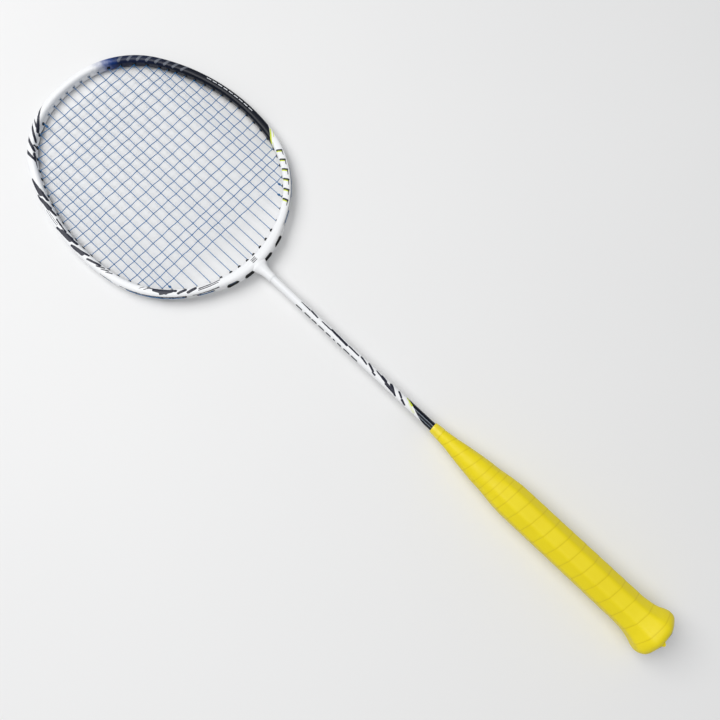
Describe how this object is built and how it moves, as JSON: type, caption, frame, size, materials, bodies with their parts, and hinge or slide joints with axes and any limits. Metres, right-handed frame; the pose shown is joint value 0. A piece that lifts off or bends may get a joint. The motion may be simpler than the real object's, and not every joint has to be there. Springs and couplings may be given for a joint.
{
  "type": "badminton_racket",
  "caption": "Badminton racket with a rounded isometric head, straight round shaft, tapered cone cap and a spiral-wrapped overgrip on a flared octagonal handle.",
  "frame": {"origin": "centre of the flush face at the butt end of the handle, where the racket's long axis leaves it", "axes": "+Y runs along the shaft from the butt to the tip of the head, +X goes across the head, +Z is normal to the string bed"},
  "size_m": [0.1992, 0.6749, 0.0382],
  "materials": {
    "frame_paint": "clear-coated white paint over carbon fibre, with dark blue and black brush shapes",
    "shaft_paint": "clear-coated white paint over carbon fibre, black towards the handle",
    "joint_metal": "cast, as made",
    "grommet_plastic": "black moulded nylon",
    "string_nylon": "blue coated multifilament nylon",
    "staple_steel": "zinc-plated wire",
    "handle_wood": "planed and lightly sealed basswood",
    "cap_plastic": "black moulded polypropylene",
    "badge_plastic": "plain silver-grey disc",
    "base_grip_foam": "soft embossed polyurethane",
    "overgrip_film": "tacky bright yellow polyurethane film, wound in a spiral",
    "tape_film": "stretched vinyl finishing tape"
  },
  "bodies": {
    "root": {"head_frame": "frame_paint", "t_joint": "joint_metal", "shaft": "shaft_paint", "tip_grommets": "grommet_plastic", "right_shoulder_grommets": "grommet_plastic", "right_side_grommets": "grommet_plastic", "right_lower_grommets": "grommet_plastic", "left_shoulder_grommets": "grommet_plastic", "left_side_grommets": "grommet_plastic", "left_lower_grommets": "grommet_plastic", "inner_throat_grommets": "grommet_plastic", "outer_throat_grommets": "grommet_plastic", "main_string": "string_nylon", "cross_string": "string_nylon", "main_string_knots": "string_nylon", "cross_string_knots": "string_nylon", "grip_staple": "staple_steel", "handle_core": "handle_wood", "cone_cap": "cap_plastic", "butt_cap": "cap_plastic", "butt_badge": "badge_plastic", "base_grip": "base_grip_foam", "base_grip_band": "tape_film", "overgrip": "overgrip_film", "finishing_tape": "tape_film"}
  },
  "joints": []
}
